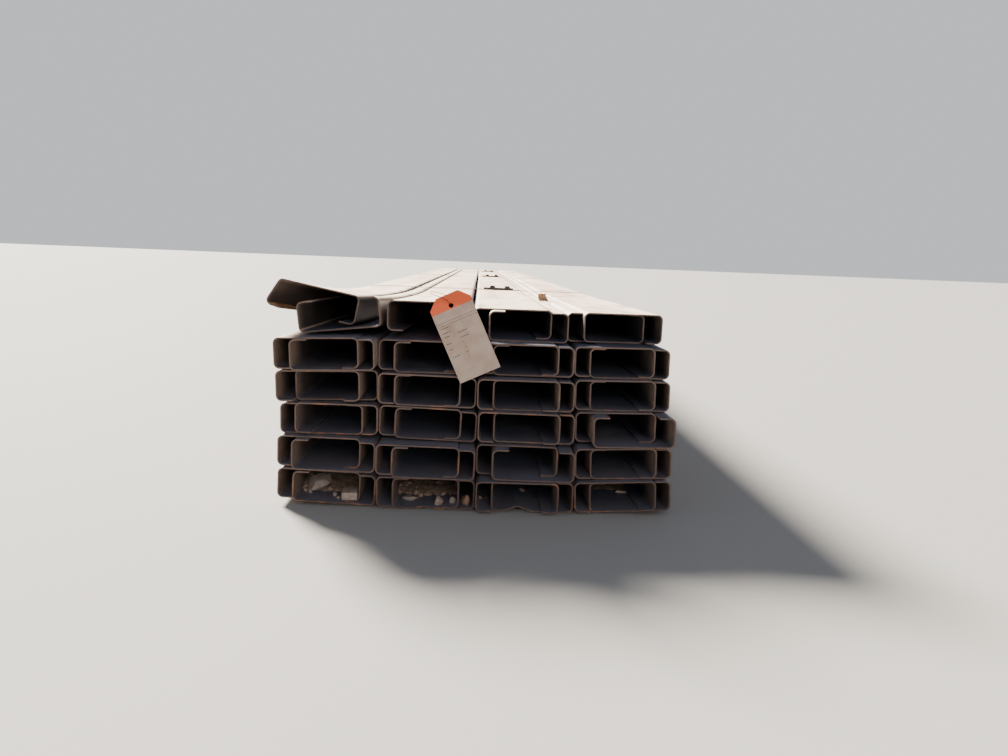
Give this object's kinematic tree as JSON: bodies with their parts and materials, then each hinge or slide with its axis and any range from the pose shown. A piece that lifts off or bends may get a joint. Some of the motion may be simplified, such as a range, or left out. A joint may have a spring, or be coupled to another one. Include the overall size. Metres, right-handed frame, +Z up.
{
  "type": "steel purlin bundle",
  "caption": "Strapped bundle of long, lipped steel C purlins, nested back to front in rows, with a bent top corner, rusty edges and a blank shipping tag.",
  "frame": {"origin": "middle of the bundle's footprint on the ground", "axes": "+Y along the purlins, away from the tagged and damaged end; +Z up; +X to the right as seen from the tagged end"},
  "size_m": [0.7694, 6.245, 0.4115],
  "materials": {
    "purlin_steel": "thin weathered shop coat, chalky on top, with rust along the cut edges and folds",
    "band_steel": "dull blued steel strap with light rust",
    "seal_steel": "dark crimped steel",
    "tag_card": "matte manila card with an orange top and plain ruled lines",
    "tie_wire": "dull soft steel wire"
  },
  "bodies": {
    "root": {"band_front": "band_steel", "band_middle": "band_steel", "band_rear": "band_steel", "lower_purlin_row1_col1": "purlin_steel", "lower_purlin_row1_col3": "purlin_steel", "lower_purlin_row1_col4": "purlin_steel", "lower_purlin_row2_col1": "purlin_steel", "lower_purlin_row2_col2": "purlin_steel", "lower_purlin_row2_col3": "purlin_steel", "lower_purlin_row2_col4": "purlin_steel", "lower_purlin_row3_col1": "purlin_steel", "lower_purlin_row3_col2": "purlin_steel", "lower_purlin_row3_col3": "purlin_steel", "lower_purlin_row3_col4": "purlin_steel", "lower_purlin_row4_col1": "purlin_steel", "lower_purlin_row4_col2": "purlin_steel", "lower_purlin_row4_col3": "purlin_steel", "lower_purlin_row4_col4": "purlin_steel", "lower_purlin_row5_col1": "purlin_steel", "lower_purlin_row5_col2": "purlin_steel", "lower_purlin_row5_col3": "purlin_steel", "lower_purlin_row5_col4": "purlin_steel", "lower_purlin_row6_col1": "purlin_steel", "lower_purlin_row6_col2": "purlin_steel", "lower_purlin_row6_col3": "purlin_steel", "lower_purlin_row6_col4": "purlin_steel", "seal_front": "seal_steel", "seal_middle": "seal_steel", "seal_rear": "seal_steel", "tag": "tag_card", "tag_wire": "tie_wire", "upper_purlin_row1_col1": "purlin_steel", "upper_purlin_row1_col2": "purlin_steel", "upper_purlin_row1_col3": "purlin_steel", "upper_purlin_row1_col4": "purlin_steel", "upper_purlin_row2_col1": "purlin_steel", "upper_purlin_row2_col2": "purlin_steel", "upper_purlin_row2_col3": "purlin_steel", "upper_purlin_row2_col4": "purlin_steel", "upper_purlin_row3_col1": "purlin_steel", "upper_purlin_row3_col2": "purlin_steel", "upper_purlin_row3_col3": "purlin_steel", "upper_purlin_row3_col4": "purlin_steel", "upper_purlin_row4_col1": "purlin_steel", "upper_purlin_row4_col2": "purlin_steel", "upper_purlin_row4_col3": "purlin_steel", "upper_purlin_row4_col4": "purlin_steel", "upper_purlin_row5_col1": "purlin_steel", "upper_purlin_row5_col2": "purlin_steel", "upper_purlin_row5_col3": "purlin_steel", "upper_purlin_row5_col4": "purlin_steel", "upper_purlin_row6_col1": "purlin_steel", "upper_purlin_row6_col2": "purlin_steel", "upper_purlin_row6_col3": "purlin_steel", "upper_purlin_row6_col4": "purlin_steel"}
  },
  "joints": []
}
